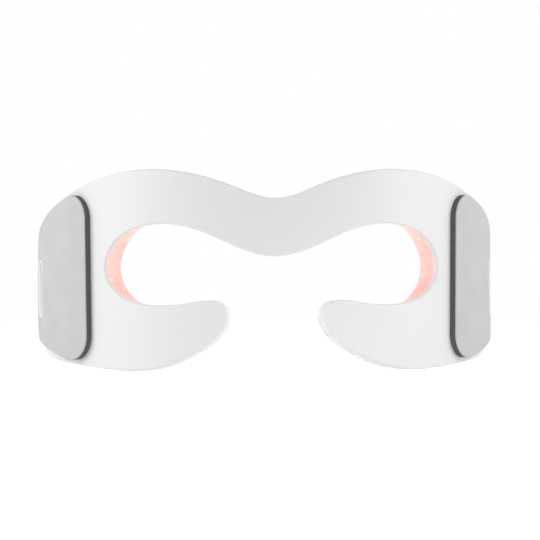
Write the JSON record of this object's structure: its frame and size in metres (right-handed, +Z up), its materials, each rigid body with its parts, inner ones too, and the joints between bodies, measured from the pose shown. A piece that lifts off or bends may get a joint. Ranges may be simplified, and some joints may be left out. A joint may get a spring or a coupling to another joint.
{
  "type": "led light therapy eye mask",
  "caption": "White silicone light therapy eye mask with a clear lit face pad, C-shaped eye openings, a nose notch and strap slots in its wings.",
  "frame": {"origin": "middle of the mask's width and depth, on the surface that its lower edge stands on", "axes": "+X across the mask towards the half with the power socket, -Y out of its front, +Z up to the brow"},
  "size_m": [0.1802, 0.0804, 0.0742],
  "materials": {
    "white_silicone": "satin white silicone",
    "clear_silicone": "milky clear silicone, soft gloss",
    "polyimide_circuit": "white coated polyimide film",
    "red_lamp": "clear resin over a red chip",
    "amber_lamp": "clear resin over an amber chip",
    "near_infrared_lamp": "clear resin",
    "deep_infrared_lamp": "smoked resin",
    "resistor_black": "black glaze with tinned ends",
    "dark_foam": "dark grey foam",
    "loop_fabric": "pale grey brushed loop fabric",
    "socket_black": "black moulded nylon",
    "tinned_brass": "tinned",
    "stiffener_board": "bare glass-epoxy board"
  },
  "bodies": {
    "left_half": {"left_outer_shell": "white_silicone", "left_face_pad": "clear_silicone", "left_flex_circuit": "polyimide_circuit", "left_red_lamps": "red_lamp", "left_amber_lamps": "amber_lamp", "left_near_infrared_lamps": "near_infrared_lamp", "left_deep_infrared_lamps": "deep_infrared_lamp", "left_resistors": "resistor_black", "left_landing_foam": "dark_foam", "left_loop_fabric": "loop_fabric"},
    "right_half": {"right_outer_shell": "white_silicone", "right_face_pad": "clear_silicone", "right_flex_circuit": "polyimide_circuit", "right_red_lamps": "red_lamp", "right_amber_lamps": "amber_lamp", "right_near_infrared_lamps": "near_infrared_lamp", "right_deep_infrared_lamps": "deep_infrared_lamp", "right_resistors": "resistor_black", "right_landing_foam": "dark_foam", "right_loop_fabric": "loop_fabric", "power_socket": "socket_black", "socket_feet": "tinned_brass", "socket_stiffener": "stiffener_board"}
  },
  "joints": [
    {"name": "bridge_bend", "type": "hinge", "parent": "left_half", "child": "right_half", "pos_m": [0, -0.04022, 0.0371], "axis": [0, 0, -1], "range_deg": [0, 25], "stiffness_Nm_per_rad": 0.06}
  ]
}
